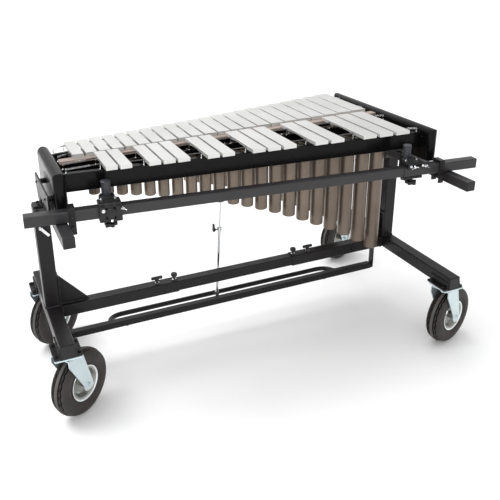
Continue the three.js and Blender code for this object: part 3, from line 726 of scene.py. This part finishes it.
def casters():
    tyre_mesh, crown_mesh, floor_mesh = tyre(), crown(), groove_shade_bands()
    rim_mesh, lip_mesh, fork_mesh = rim(), rim_lips(), fork()
    for name, side_x, side_y, heading in CASTERS:
        reach = FOOT_REACH["left" if side_x < 0 else "right"] - CASTER_INSET
        swivel = Matrix.Translation((side_x * LEG_X, side_y * reach, 0))
        trail = swivel @ Matrix.Rotation(math.radians(heading), 4, "Z")
        axle = trail @ Matrix.Translation((TRAIL, 0, AXLE_Z))
        half_x, half_y = PLATE_HALF
        under = PLATE_TOP - PLATE_THICK
        mount = plate(rounded(-half_x, -half_y, half_x, half_y, 5, 6), "z", under, PLATE_TOP, 0.8)
        race = lathe([(0, RACE_BOTTOM), (29, RACE_BOTTOM), (30, RACE_BOTTOM + 1),
                      (30, under - 1.4), (28.8, under - 0.6), (28.8, under + 0.5),
                      (0, under + 0.5)], 56)
        piece(f"{name}_plate", placed([mount, race], swivel), ZINC,
              stands_for=f"{name}_caster_plate")
        outer_row, inner_row = BOLT_ROWS
        nuts = [bolt((x, y, under), (0, 0, -1), 6.2) for x in (-outer_row, outer_row)
                for y in (-side_y * outer_row, side_y * inner_row)]
        piece(f"{name}_plate_nuts", placed(nuts, swivel), ZINC)
        caster = f"{name}_caster"
        width = FORK_IN + 4
        kingpin = lathe([(0, CROWN_TOP - 9), (8, CROWN_TOP - 9), (8.6, CROWN_TOP - 8.4),
                         (8.6, CROWN_TOP - 5), (13, CROWN_TOP - 4.6), (0, CROWN_TOP - 4.4)], 28)
        piece(f"{name}_fork", placed([fork_mesh.copy(), kingpin], trail), ZINC, caster,
              stands_for=f"{name}_caster_fork")
        axle_parts = [rod((TRAIL, -width + 1, AXLE_Z), (TRAIL, width - 1, AXLE_Z), 5.6)]
        for way in (-1, 1):
            axle_parts.append(bolt((TRAIL, way * width, AXLE_Z), (0, way, 0), 7.2))
        piece(f"{name}_axle", placed(axle_parts, trail), ZINC, caster)
        wheel = f"{name}_wheel"
        # The rim's darkened zinc paints the shade in its dish.
        piece(f"{name}_rim", moved(rim_mesh.copy(), axle), RIM_ZINC_SHADED, wheel,
              stands_for=f"{name}_wheel_rim")
        half = [(6.8, -32), (9.4, -32), (9.4, -28.5), (14, -28), (14.8, -26.6)]
        hub = lathe(half + mirrored(half), 40)
        # The hub shares the darkened rim zinc and its painted shade.
        piece(f"{name}_hub", moved(hub, axle @ TURN_TO_Y), RIM_ZINC_SHADED, wheel)
        bushes = [lathe([(6.7, z - 1.2), (9, z - 1.2), (9, z + 1.2), (6.7, z + 1.2)], 32)
                  for z in (-32.4, 32.4)]
        piece(f"{name}_bushes", placed(bushes, axle @ TURN_TO_Y), BRASS, wheel)
        studs = []
        for k in range(5):
            x, z = turned(36, 2 * math.pi * k / 5 + 0.3)
            for way in (-1, 1):
                studs.append(bolt((x, way * 8, z), (0, way, 0), 4.2))
        studs.append(rod((43, 15, 22), (37, 28, 19), 2.8, 16))
        piece(f"{name}_rim_bolts", placed(studs, axle), ZINC, wheel)
        piece(f"{name}_tread", moved(tyre_mesh.copy(), axle), RUBBER, wheel,
              stands_for=f"{name}_tyre", angle=50)
        piece(f"{name}_crown", moved(crown_mesh.copy(), axle), WORN_RUBBER, wheel)
        # Near-black bands just under the tread paint the shade in the grooves.
        piece(f"{name}_grooves", moved(floor_mesh.copy(), axle), GROOVE_SHADE_RUBBER, wheel)
        # The lighter zinc of the lips paints the highlight on the rim edges.
        piece(f"{name}_lips", moved(lip_mesh.copy(), axle), ZINC_LIP_HIGHLIGHT, wheel)


# ---------- keyboard ----------
LAST = 21


def pitch(i):
    return 45 + 25 * (i / LAST) ** 1.5


BOUNDARY = [-597.0]
for i in range(LAST + 1):
    BOUNDARY.append(BOUNDARY[i] + pitch(i))
ROW = BOUNDARY[-1] - BOUNDARY[0]
ACCIDENTALS = (2, 3, 5, 6, 7, 9, 10, 12, 13, 14, 16, 17, 19, 20, 21)


def natural_bar(i):
    x = (BOUNDARY[i] + BOUNDARY[i + 1] - BAR_GAP) / 2
    t = (x - BOUNDARY[0]) / ROW
    return {"x": x, "w": pitch(i) - BAR_GAP, "front": -57 + 115 * t, "back": 97 + 272 * t ** 1.12}


def accidental_bar(boundary):
    x = BOUNDARY[boundary] - 12 * math.sin(math.pi * boundary / (LAST + 2))
    t = (x - BOUNDARY[0]) / ROW
    return {"x": x, "w": pitch(boundary) * 0.9 - 4,
            "front": -222 - 68 * max(t - 0.07, 0) ** 0.8, "back": -60 + 88 * t}


NATURALS = [natural_bar(i) for i in range(LAST + 1)]
SHARPS = [accidental_bar(b) for b in ACCIDENTALS]


def node_y(bar, which):
    reach = 0.224 * (bar["back"] - bar["front"])
    return bar["front"] + reach if which == "front" else bar["back"] - reach


def bar_solid(bar, thin):
    """Side profile with the tuning arch underneath, pushed across the bar's width."""
    front, back = bar["front"], bar["back"]
    length = back - front
    bottom = BAR_TOP - BAR_THICK
    profile = [(front, BAR_TOP), (front, bottom), (front + 0.26 * length, bottom)]
    for k in range(1, 16):
        u = k / 16
        profile.append((front + (0.26 + 0.48 * u) * length,
                        bottom + thin * math.sin(math.pi * u) ** 0.7))
    profile += [(back - 0.26 * length, bottom), (back, bottom), (back, BAR_TOP)]
    half = bar["w"] / 2
    return plate(profile[::-1], "x", bar["x"] - half, bar["x"] + half, 0.9, 3)


def keyboard():
    groups = (("natural", NATURALS, ((0, 8), (8, 15), (15, 22))),
              ("accidental", SHARPS, ((0, 5), (5, 10), (10, 15))))
    for kind, row, spans in groups:
        for octave, (start, stop) in zip(("high", "middle", "low"), spans):
            for k in range(start, stop):
                thin = 2.5 + 4.0 * k / len(row)
                piece(f"{kind}_bar_{k + 1:02d}", bar_solid(row[k], thin), BAR_METAL,
                      stands_for=f"{octave}_{kind}_bars")


RAILS = {
    "front_rail": (along(-158, -239), 22, 792, 852, SHARPS, "front"),
    "accidental_rear_rail": (along(-107, -29), 15, 812, 848, SHARPS, "back"),
    "natural_front_rail": (along(-22, 128), 15, 812, 848, NATURALS, "front"),
    "back_rail": (along(67, 302), 15, 812, 848, NATURALS, "back"),
}


def post(x, y, foot, hook=True):
    """A chrome cord post: threaded collar, shank and a fork that cradles the cord."""
    shank = [(0, 0), (3.0, 0), (3.0, 1.6), (2.2, 2.2), (1.5, 2.6), (1.5, 14), (0, 14)]
    parts = [shifted(lathe(shank, 16), x, y, foot)]
    if hook:
        base = CORD_Z - 3.2
        for way in (-1, 1):
            parts.append(pipe([(x, y, base - 1.5), (x, y + way * 2.0, base),
                               (x, y + way * 3.0, base + 2), (x, y + way * 3.1, base + 5.6)],
                              0.95, 8))
    return parts


def rails():
    for name, (y, thick, low_z, top, row, which) in RAILS.items():
        half = thick / 2
        outline = strip(y, RAIL_X, half)
        radius = 2.6 if name == "front_rail" else 1.6
        piece(f"{name}_beam", plate(outline, "z", low_z, top, radius, 4), LACQUER, stands_for=name)
        posts = []
        line = []
        for a, b in zip(row, row[1:]):
            left, right = a["x"] + a["w"] / 2, b["x"] - b["w"] / 2
            wide = right - left > 20
            spots = [left + 3.2, right - 3.2] if wide else [(left + right) / 2]
            for x in spots:
                at = (node_y(a, which) + node_y(b, which)) / 2
                at = max(min(at, y(x) + half - 2), y(x) - half + 2)
                posts += post(x, at, top - 0.4)
                line.append((x, at, CORD_Z))
        first, last = row[0], row[-1]
        start_x = first["x"] - first["w"] / 2 - 5
        end_x = last["x"] + last["w"] / 2 + 5
        for x in (start_x, end_x):
            posts += post(x, y(x), top - 0.4)
        line = [(start_x, y(start_x), CORD_Z)] + line + [(end_x, y(end_x), CORD_Z)]
        springs = []
        for way, x in ((-1, start_x), (1, end_x)):
            wall = way * (RAIL_X - 9)
            room = abs(wall - x)
            spring_x = x + way * room * 0.3
            hook = (spring_x, y(spring_x), CORD_Z - 2)
            springs.append(coil(hook, (wall, y(wall), CORD_Z - 6), 2.8, 0.6,
                                max(5, int(room * 0.5 / 2.2)), 10))
            posts += post(wall, y(wall), top - 0.4, False)
            line = [hook] + line if way < 0 else line + [hook]
        piece(f"{name}_cord_posts", posts, CHROME)
        piece(f"{name}_cord_springs", springs, CHROME)
        piece(f"{name}_cord", pipe(line, 1.7, 10), CORD_WEAVE)


def boards():
    for side, sign in SIDES:
        y0, y1 = BOARD_Y[side]
        x0, x1 = sorted((sign * BOARD_OUT, sign * (BOARD_OUT - BOARD_THICK)))
        z0, z1 = BOARD_Z
        r = BOARD_THICK / 2 - 1
        across = plate(rounded(x0, z0, x1, z1, [2, 2, r, r], 14), "y", y0 - 1, y1 + 1, 0)
        plan = plate(rounded(x0, y0, x1, y1, r, 14), "z", z0 - 1, z1 + 1, 0)
        body = shared(across, plan)
        piece(f"{side}_board", body, LACQUER, stands_for=f"{side}_end_board")
        screws = []
        face = sign * (BOARD_OUT - BOARD_THICK)
        for y, _, low_z, top, _, _ in RAILS.values():
            screw_z = (low_z + top) / 2 + 16
            for screw_y in (y(face) - 22, y(face) + 22):
                screws.append(rod((face, screw_y, screw_z), (face - sign * 1.6, screw_y, screw_z),
                                  2.8, 18))
        piece(f"{side}_board_screws", screws, POWDER)


def brackets():
    for side, sign in SIDES:
        outer = sign * (BRACKET_AT + BRACKET_THICK)
        plate_x = sorted((sign * BRACKET_AT, outer))
        arm_top = RACK_Z - RACK_HALF - GAP
        outline = [(-200, 748), (-24, arm_top + 6), (-24, POST_TOP + GAP), (23, POST_TOP + GAP),
                   (50, 748), (50, 797)] + arc(47, 797, 3, 0, 90, 3)[1:]
        outline += arc(-197, 797, 3, 90, 180, 3)
        parts = [plate(outline, "x", plate_x[0], plate_x[1], 0.9)]
        f0, f1 = sorted((sign * BRACKET_AT, sign * (LEG_X + 22)))
        parts.append(box((f0, -23, POST_TOP + GAP), (f1, 23, POST_TOP + 6), 1.2))
        for y in SPACER_Y:
            parts.append(rod((sign * (BOARD_OUT + GAP), y, SPACER_Z),
                             (sign * (BRACKET_AT + 1), y, SPACER_Z), 9))
        parts += weld([(outer, y, POST_TOP + 6.5) for y in (-21, 21)], 2.0)
        piece(f"{side}_bracket", parts, POWDER, stands_for=f"{side}_board_bracket")
        screws = [bolt((outer, y, SPACER_Z), (sign, 0, 0), 4) for y in SPACER_Y]
        screws += [bolt((sign * (LEG_X + 4), y, POST_TOP + 6), (0, 0, 1), 5.2) for y in (-12, 12)]
        piece(f"{side}_bracket_screws", screws, POWDER)


# ---------- resonators ----------
def resonator(x, y, radius, step, sides=40):
    """A thin tube, open above and stopped below by a slightly domed cap."""
    bottom = TUBE_TOP - 70 * 2 ** (step / 7.5)
    wall = 1.6
    profile = [(0, bottom), (radius - 5, bottom + 0.3)]
    profile += [(radius - 5 + 5 * math.sin(a), bottom + 5.3 - 5 * math.cos(a))
                for a in (math.radians(k) for k in (18, 36, 54, 72, 90))]
    profile += [(radius, TUBE_TOP - 0.5), (radius - 0.4, TUBE_TOP), (radius - wall, TUBE_TOP),
                (radius - wall, bottom + 4), (0, bottom + 3)]
    return shifted(lathe(profile, sides, closed=False), x, y, 0)


def resonators():
    front = [(BOUNDARY[i], pitch(i - 0.5) * 0.4, i) for i in range(1, LAST + 1)]
    back = [(bar["x"], pitch(i) * 0.4, i + 0.5) for i, bar in enumerate(NATURALS)]
    banks = (("front", front, lambda x: -131.0), ("back", back, along(20, 217)))
    for name, tubes, y in banks:
        parts = [resonator(x, y(x), r, step) for x, r, step in tubes]
        (first_x, first_r, _), (last_x, last_r, _) = tubes[0], tubes[-1]
        x0, x1 = first_x - first_r - 6, last_x + last_r + 6
        for way in (-1, 1):
            y0 = y(x0) + way * (first_r + 0.4)
            y1 = y(x1) + way * (last_r + 0.4)
            strap = [(x0, y0), (x1, y1), (x1, y1 - way * 3), (x0, y0 - way * 3)]
            parts.append(plate(strap if way < 0 else strap[::-1], "z",
                               TUBE_TOP - 22, TUBE_TOP - 10, 0.6))
        piece(f"{name}_resonators", parts, BRONZE, stands_for=f"{name}_resonator_bank")


# ---------- damper, pedal and pull rod ----------
def damper():
    y = along(-58.5, 45)
    x = RAIL_X - 6

    top = BAR_TOP - BAR_THICK - 0.5
    piece("damper_beam", plate(strip(y, x, 12), "z", 838, 851.7, 1.2), LACQUER, "damper",
          stands_for="damper_bar")
    felt = plate(strip(y, x, 17), "z", 852, top, 2.6, 4)
    piece("damper_pad", felt, FELT, "damper", stands_for="damper_felt")
    springs = []
    for at in (-0.82, -0.3, 0.36, 0.86):
        px = at * x
        springs.append(rod((px, y(px), 826), (px, y(px), 838.4), 3.2, 18))
    piece("damper_guides", springs, CHROME, "damper")


def pedal():
    py, pz = PIVOT
    front, rear = py - 15, py + 15
    half = 672
    bar = square_tube((-half, front, pz - 12.5), (half, rear, pz + 12.5), 3.5, "x")
    path = []
    loop_x, loop_y, loop_z = LOOP
    for sign in (-1, 1):
        a = Vector((sign * (loop_x - 58), loop_y, loop_z))
        b = Vector((sign * loop_x, loop_y, loop_z))
        c = Vector((sign * (loop_x + 6), rear - 4, pz))
        leg = [(1 - t) ** 2 * a + 2 * t * (1 - t) * b + t * t * c
               for t in (i / 14 for i in range(15))]
        path.append(leg)
    straight = [path[0][0].lerp(path[1][0], i / 24) for i in range(1, 24)]
    loop = pipe(path[0][::-1] + straight + path[1], 9.8, 24)
    arm = plate([(rear - 2, pz - 9), (rear + 18, pz - 9)] + arc(72, pz, 9, 270, 360, 5)
                + [(loop_y, loop_z - 4), (loop_y, loop_z + 4), (80, pz + 9), (rear - 2, pz + 9)],
                "x", ROD_X - 3, ROD_X + 3, 0.8)
    pins = [rod((sign * (half - 2), py, pz), (sign * 685, py, pz), 4, 20) for sign in (-1, 1)]
    welds = []
    for sign in (-1, 1):
        ring = [(sign * (loop_x + 5) + a, rear + 0.8, pz + b)
                for a, b in (turned(10.6, 2 * math.pi * k / 24) for k in range(25))]
        welds.append(pipe(ring, 1.8, 8))
    piece("pedal_frame", [bar, loop, arm] + pins + welds, POWDER, "pedal",
          stands_for="damper_pedal")
    caps = [box((min(s * (half - 1), s * (half + 2.4)), front + 1, pz - 11.5),
                (max(s * (half - 1), s * (half + 2.4)), rear - 1, pz + 11.5), 1.2) for s in (-1, 1)]
    piece("pedal_end_caps", caps, PLASTIC, "pedal")
    bumpers = [shifted(lathe([(0, -5), (7.4, -5), (8.8, -4), (9, -1), (9, 0.6), (0, 0.6)], 28),
                       x, py, pz - 12.5) for x in (-440, 40, 440)]
    piece("pedal_bumpers", bumpers, RUBBER, "pedal")
    for side, sign in SIDES:
        outer = sign * (LEG_X - TUBE / 2 - GAP)
        x0, x1 = sorted((outer, outer - sign * 6))
        hang = plate(arc(py, pz - 2, 14, 180, 360, 10) + [(py + 14, FOOT_TOP - 6),
                                                        (py - 14, FOOT_TOP - 6)], "x", x0, x1, 0.9)
        piece(f"{side}_hanger", hang, POWDER, stands_for=f"{side}_pedal_hanger")
        fixings = [bolt((outer - sign * 6, py, z), (-sign, 0, 0), 5) for z in (286, 304)]
        piece(f"{side}_hanger_bolts", fixings, POWDER)


def pull_rod():
    py, pz = 72, PIVOT[1]
    foot = Vector((ROD_X, py, pz))
    head = Vector((ROD_X + 3, -10, 833))

    def at(t):
        return foot.lerp(head, t)

    clamp = 0.48  # how far up the rod its clamp sits
    ears = []
    for way in (-1, 1):
        x0, x1 = sorted((ROD_X + way * 4.2, ROD_X + way * 7.2))
        ears.append(plate(arc(py, pz, 6, 180, 360, 8) + [(py + 6, pz + 22), (py - 6, pz + 22)],
                          "x", x0, x1, 0.5))
    yoke = box((ROD_X - 7.2, py - 6, pz + 19), (ROD_X + 7.2, py + 6, pz + 25), 1.4)
    pin = rod((ROD_X - 8.6, py, pz), (ROD_X + 8.6, py, pz), 2.6, 18)
    tube = rod(at(0.025), at(clamp), 5, 28)
    collar = rod(at(clamp - 0.025), at(clamp + 0.005), 9, 32, 1.2)
    piece("lower_rod", ears + [yoke, pin, tube, collar], CHROME, "pull_rod",
          stands_for="lower_pull_rod")
    upper = rod(at(clamp - 0.02), at(1), 3, 24)
    top = lathe([(0, 0), (6, 0), (8, 1.2), (8, 7.6), (7.4, 8.6), (0, 8.7)], 32)
    nut = bolt(at(0.975), head - foot, 5, False)
    piece("upper_rod", [upper, shifted(top, head.x, head.y, 829.0), nut], CHROME, "pull_rod",
          stands_for="upper_pull_rod")
    c = at(clamp - 0.01)
    x = c.x - 9 - GAP
    stem = rod((x - 14, c.y, c.z), (x, c.y, c.z), 2.5, 18)
    boss = rod((x - 18, c.y, c.z), (x - 7, c.y, c.z), 5.5, 24)
    drop = arc(0, 0, 8.6, 200, 340, 9) + arc(0, 20, 5.8, 10, 170, 9)
    wings = plate([(c.y + a, c.z + b) for a, b in drop], "x", x - 18, x - 11.4, 1.9, 4)
    piece("rod_screw_grip", [stem, boss, wings], PLASTIC, "rod_screw",
          stands_for="pull_rod_wing_screw")


# ---------- rack ----------
RACK = Matrix.Translation((*RACK_CENTRE, RACK_Z)) @ Matrix.Rotation(RACK_ANGLE, 4, "Z")


def rack_bar():
    parts = [square_tube((-542, -16.5, -16.5), (542, 16.5, 16.5), 3, "x")]
    caps = []
    edges = []
    for sign, start in SLEEVES:
        x0, x1 = sorted((sign * start, sign * RACK_END))
        outer = rounded(-RACK_HALF, -RACK_HALF, RACK_HALF, RACK_HALF, 3.2, 5)
        inner = rounded(-15, -15, 15, 15, 2, 5)
        parts.append(hollow_tube(outer, inner, x0, x1))
        x0, x1 = sorted((sign * (RACK_END - 2), sign * (RACK_END + 1.8)))
        caps.append(box((x0, -17.2, -17.2), (x1, 17.2, 17.2), 1.6))
        x0, x1 = sorted((sign * (start - 3), sign * (start + 1)))
        edges.append(box((x0, -17.4, -17.4), (x1, 17.4, 17.4), 1))
    piece("rack_tube", placed(parts, RACK), SATIN, stands_for="rack_bar")
    piece("rack_end_caps", placed(caps, RACK), PLASTIC)
    piece("rack_sleeve_edges", placed(edges, RACK), PLASTIC)


def rack_arms():
    face = -TUBE / 2 - GAP
    top = RACK_Z - RACK_HALF - GAP
    for side, sign in SIDES:
        x = sign * ARM_X
        end = ARM_END[side]
        tube = square_tube((x - 18, end + 2.5, top - 36), (x + 18, face - 2, top), 3.2, "y")
        near, far = sorted((sign * (ARM_X - 18), sign * (LEG_X + 25)))
        flange = plate(rounded(near, top - 50, far, POST_TOP - 1, 4, 4), "y", face - 8, face, 0.9)
        beads = weld([(x - 17.4, face - 8.6, top - 35), (x + 17.4, face - 8.6, top - 35)], 2.0)
        piece(f"{side}_arm", [tube, flange] + beads, SATIN, stands_for=f"{side}_rack_arm")
        cap = box((x - 16.8, end, top - 34.8), (x + 16.8, end + 3.4, top - 1.2), 1.5)
        piece(f"{side}_arm_cap", cap, PLASTIC)
        head = bolt((sign * (LEG_X + 12), face - 8, top - 40), (0, -1, 0), 5.4)
        piece(f"{side}_arm_bolt", head, POWDER)


def rack_clamps():
    half = RACK_HALF + GAP
    for side, sign in SIDES:
        place = RACK @ Matrix.Translation((sign * CLAMP_X - RACK_CENTRE[0], 0, 0))
        w, cap = 5, 11
        arch = [(-half - w, -56), (-half, -56), (-half, half), (half, half), (half, -56),
                (half + w, -56)] + arc(half + w - 4, half + cap - 4, 4, 0, 90, 5)
        arch += arc(-half - w + 4, half + cap - 4, 4, 90, 180, 5)
        saddle = plate(arch, "x", -10, 10, 0.8)
        cross = rod((0, -half - w - 1, -half - 14), (0, half + w + 1, -half - 14), 4, 18)
        piece(f"{side}_clamp_saddle", placed([saddle, cross], place), POWDER,
              stands_for=f"{side}_rack_clamp")
        nuts = [bolt((0, way * (half + w), -half - 14), (0, way, 0), 5.4) for way in (-1, 1)]
        nuts.append(bolt((0, -half - w, 2), (0, -1, 0), 4.6))
        piece(f"{side}_clamp_nuts", placed(nuts, place), POWDER)


def wing_nut(at, toward, size=9.0):
    """Two wings on a cone, as on a clamping bolt."""
    cone = lathe([(0, 0), (size * 0.5, 0), (size * 0.55, 1), (size * 0.38, size * 0.75),
                  (0, size * 0.8)], 24)
    parts = [cone]
    for way in (-1, 1):
        blade = [(way * size * 0.2, 1), (way * size * 0.55, 1.4), (way * size * 1.1, size * 0.75),
                 (way * size * 1.2, size * 1.15), (way * size * 0.95, size * 1.25),
                 (way * size * 0.5, size * 0.75), (way * size * 0.2, size * 0.7)]
        parts.append(plate(blade if way > 0 else blade[::-1], "y", -1.3, 1.3, 0.5))
    return moved(merged(parts), facing(at, Vector(at) + Vector(toward)))


def star_grip():
    """A five-lobed grip, one smooth outline pushed down and eased."""
    outline = []
    for k in range(100):
        a = 2 * math.pi * k / 100
        outline.append(turned(17.8 + 3.8 * math.cos(5 * a), a))
    return plate(outline, "z", -24, -11, 2.6, 4)


def accessories():
    post_y = 42
    for side, at in (("left", -547), ("right", 533)):
        place = RACK @ Matrix.Translation((at, 0, 0))
        body = f"{side}_clamp"
        bore = RACK_HALF + GAP
        jaw = []
        if side == "left":
            for x0, x1 in ((-35, -14), (-11, 11), (14, 35)):
                jaw.append(box((x0, -30, -28), (x1, -bore, 34), 3))
        else:
            jaw.append(box((-35, -30, 13), (35, -bore, 34), 3))
        jaw.append(box((-35, -30, bore), (35, 20, 34), 4, 4))
        front = -30 if side == "left" else -bore
        jaw.append(box((-35, front, -28), (35, 28, -bore), 3.4, 4))
        jaw.append(box((-35, bore, -27), (35, 27, 14), 2.6))
        collar = lathe([(16.3, -8), (23.5, -8), (25, -6.4), (25, 8), (23.6, 9), (23.6, 13),
                        (25, 14), (25, 33), (22.5, 36), (16.3, 36)], 56)
        jaw.append(shifted(collar, 0, post_y, 0))
        if side == "left":
            drum = lathe([(0, 0), (15, 0), (16.4, 1.4), (16.4, 3), (13, 5.2), (0, 5.2)], 40)
            jaw.append(moved(drum, facing((0, -29.5, 2), (0, -30.5, 2))))
        piece(f"{side}_jaw", placed(jaw, place), PLASTIC, body,
              stands_for=f"{side}_accessory_clamp")
        bright = [bolt((x, 10, 34), (0, 0, 1), 4.4) for x in (-22, 22)]
        if side == "right":
            bright += [bolt((x, -30, 24), (0, -1, 0), 4.2) for x in (-24, 24)]
            bright += [wing_nut((-10, -30, 23), (-0.3, -1, -0.25), 10),
                       wing_nut((35, -26, 21), (0.7, -1, -0.1), 11)]
        else:
            bright += [bolt((-22, -30, 10), (0, -1, 0), 5), bolt((2, -30, -24), (0, -1, 0.4), 3.6),
                       wing_nut((35, -26, 12), (0.8, -1, 0), 10)]
        piece(f"{side}_jaw_bolts", placed(bright, place), CHROME, body)
        tube = lathe([(0, -50), (14.2, -50), (15, -49), (15, 72), (16, 73.5), (16, 80.6),
                      (14.6, 82), (0, 82)], 56)
        piece(f"{side}_post_tube", moved(shifted(tube, 0, post_y, 0), place), POST_GREY,
              f"{side}_post", stands_for=f"{side}_accessory_post")
        stem = rod((0, 0, -12.5), (0, 0, -0.2), 5, 20)
        boss = lathe([(0, 0), (9, 0), (8, 3), (0, 3)], 28)
        grip = [star_grip(), stem, shifted(boss, 0, 0, -12)]
        under = place @ Matrix.Translation((0, 0, -28 - GAP))
        piece(f"{side}_star_grip", placed(grip, under), PLASTIC, f"{side}_knob",
              stands_for=f"{side}_accessory_knob")


def cam_levers():
    """Chrome quick-release lever on the front of each post, below the rack bar."""
    for side, sign in SIDES:
        pivot = Vector((sign * LEG_X - 9, -TUBE / 2 - 10, 630))
        shaft = rod((pivot.x, -TUBE / 2, pivot.z), (pivot.x, -TUBE / 2 - 16, pivot.z), 4.2, 20)
        blade = plate(rounded(-4.8, -39, 4.8, 8, [3, 3, 4.7, 4.7], 6), "y", -2.4, 2.4, 0.9)
        lean = Matrix.Translation(pivot) @ Matrix.Rotation(math.radians(-39), 4, "Y")
        nut = bolt((pivot.x, -TUBE / 2 - 12.4, pivot.z), (0, -1, 0), 5.5)
        piece(f"{side}_cam_lever", [shaft, moved(blade, lean), nut], CHROME)


# ---------- studio ----------
def studio():
    camera_data = bpy.data.cameras.new("camera")
    camera_data.sensor_width = 36
    camera_data.lens = 47.66
    camera_data.shift_y = -0.1
    camera = added("camera", camera_data)
    camera.location = CENTRE + Vector((-0.9422, -2.1443, 1.5339))
    camera.rotation_euler = (math.radians(90 - 21.8), 0, math.radians(-25.1))
    bpy.context.scene.camera = camera

    world = bpy.data.worlds.new("studio")
    world.use_nodes = True
    background = world.node_tree.nodes["Background"]
    background.inputs["Color"].default_value = (1, 1, 1, 1)
    background.inputs["Strength"].default_value = 0.72
    bpy.context.scene.world = world
    bpy.context.scene.view_settings.view_transform = "Standard"

    def light(name, at, target, size, power):
        data = bpy.data.lights.new(name, "AREA")
        data.shape = "RECTANGLE"
        data.size, data.size_y = size
        data.energy = power
        lamp = added(name, data)
        lamp.location = at
        aim = Vector(target) - Vector(at)
        lamp.rotation_euler = aim.to_track_quat("-Z", "Y").to_euler()

    light("key", (-2.4, 0.9, 3.2), (0, 0, 0.5), (1.6, 1.6), 30)
    light("fill", (-1.2, -3.2, 2.0), (0, 0, 0.5), (1.6, 1.2), 30)
    light("back", (0.6, 3.0, 2.8), (0, 0, 0.6), (2.6, 1.2), 8)
    ceiling_data = bpy.data.lights.new("ceiling", "SUN")
    ceiling_data.energy = 1.45
    ceiling_data.angle = math.radians(50)
    ceiling = added("ceiling", ceiling_data)
    ceiling.rotation_euler = Vector((0.3, -0.3, -1)).to_track_quat("-Z", "Y").to_euler()

    floor_mesh = bpy.data.meshes.new("floor")
    floor_mesh.from_pydata([(-40, -40, 0), (40, -40, 0), (40, 40, 0), (-40, 40, 0)], [],
                           [(0, 1, 2, 3)])
    floor = added("floor", floor_mesh)
    floor_mesh.materials.append(surface("pale_floor", (0.985, 0.985, 0.985), 0.7, tint=0.01,
                                        patch=2, grain=60, bump=0.02))
    floor.location.z = -0.001


studio()
legs()
stretcher()
casters()
keyboard()
rails()
boards()
brackets()
resonators()
damper()
pedal()
pull_rod()
rack_bar()
rack_arms()
rack_clamps()
accessories()
cam_levers()
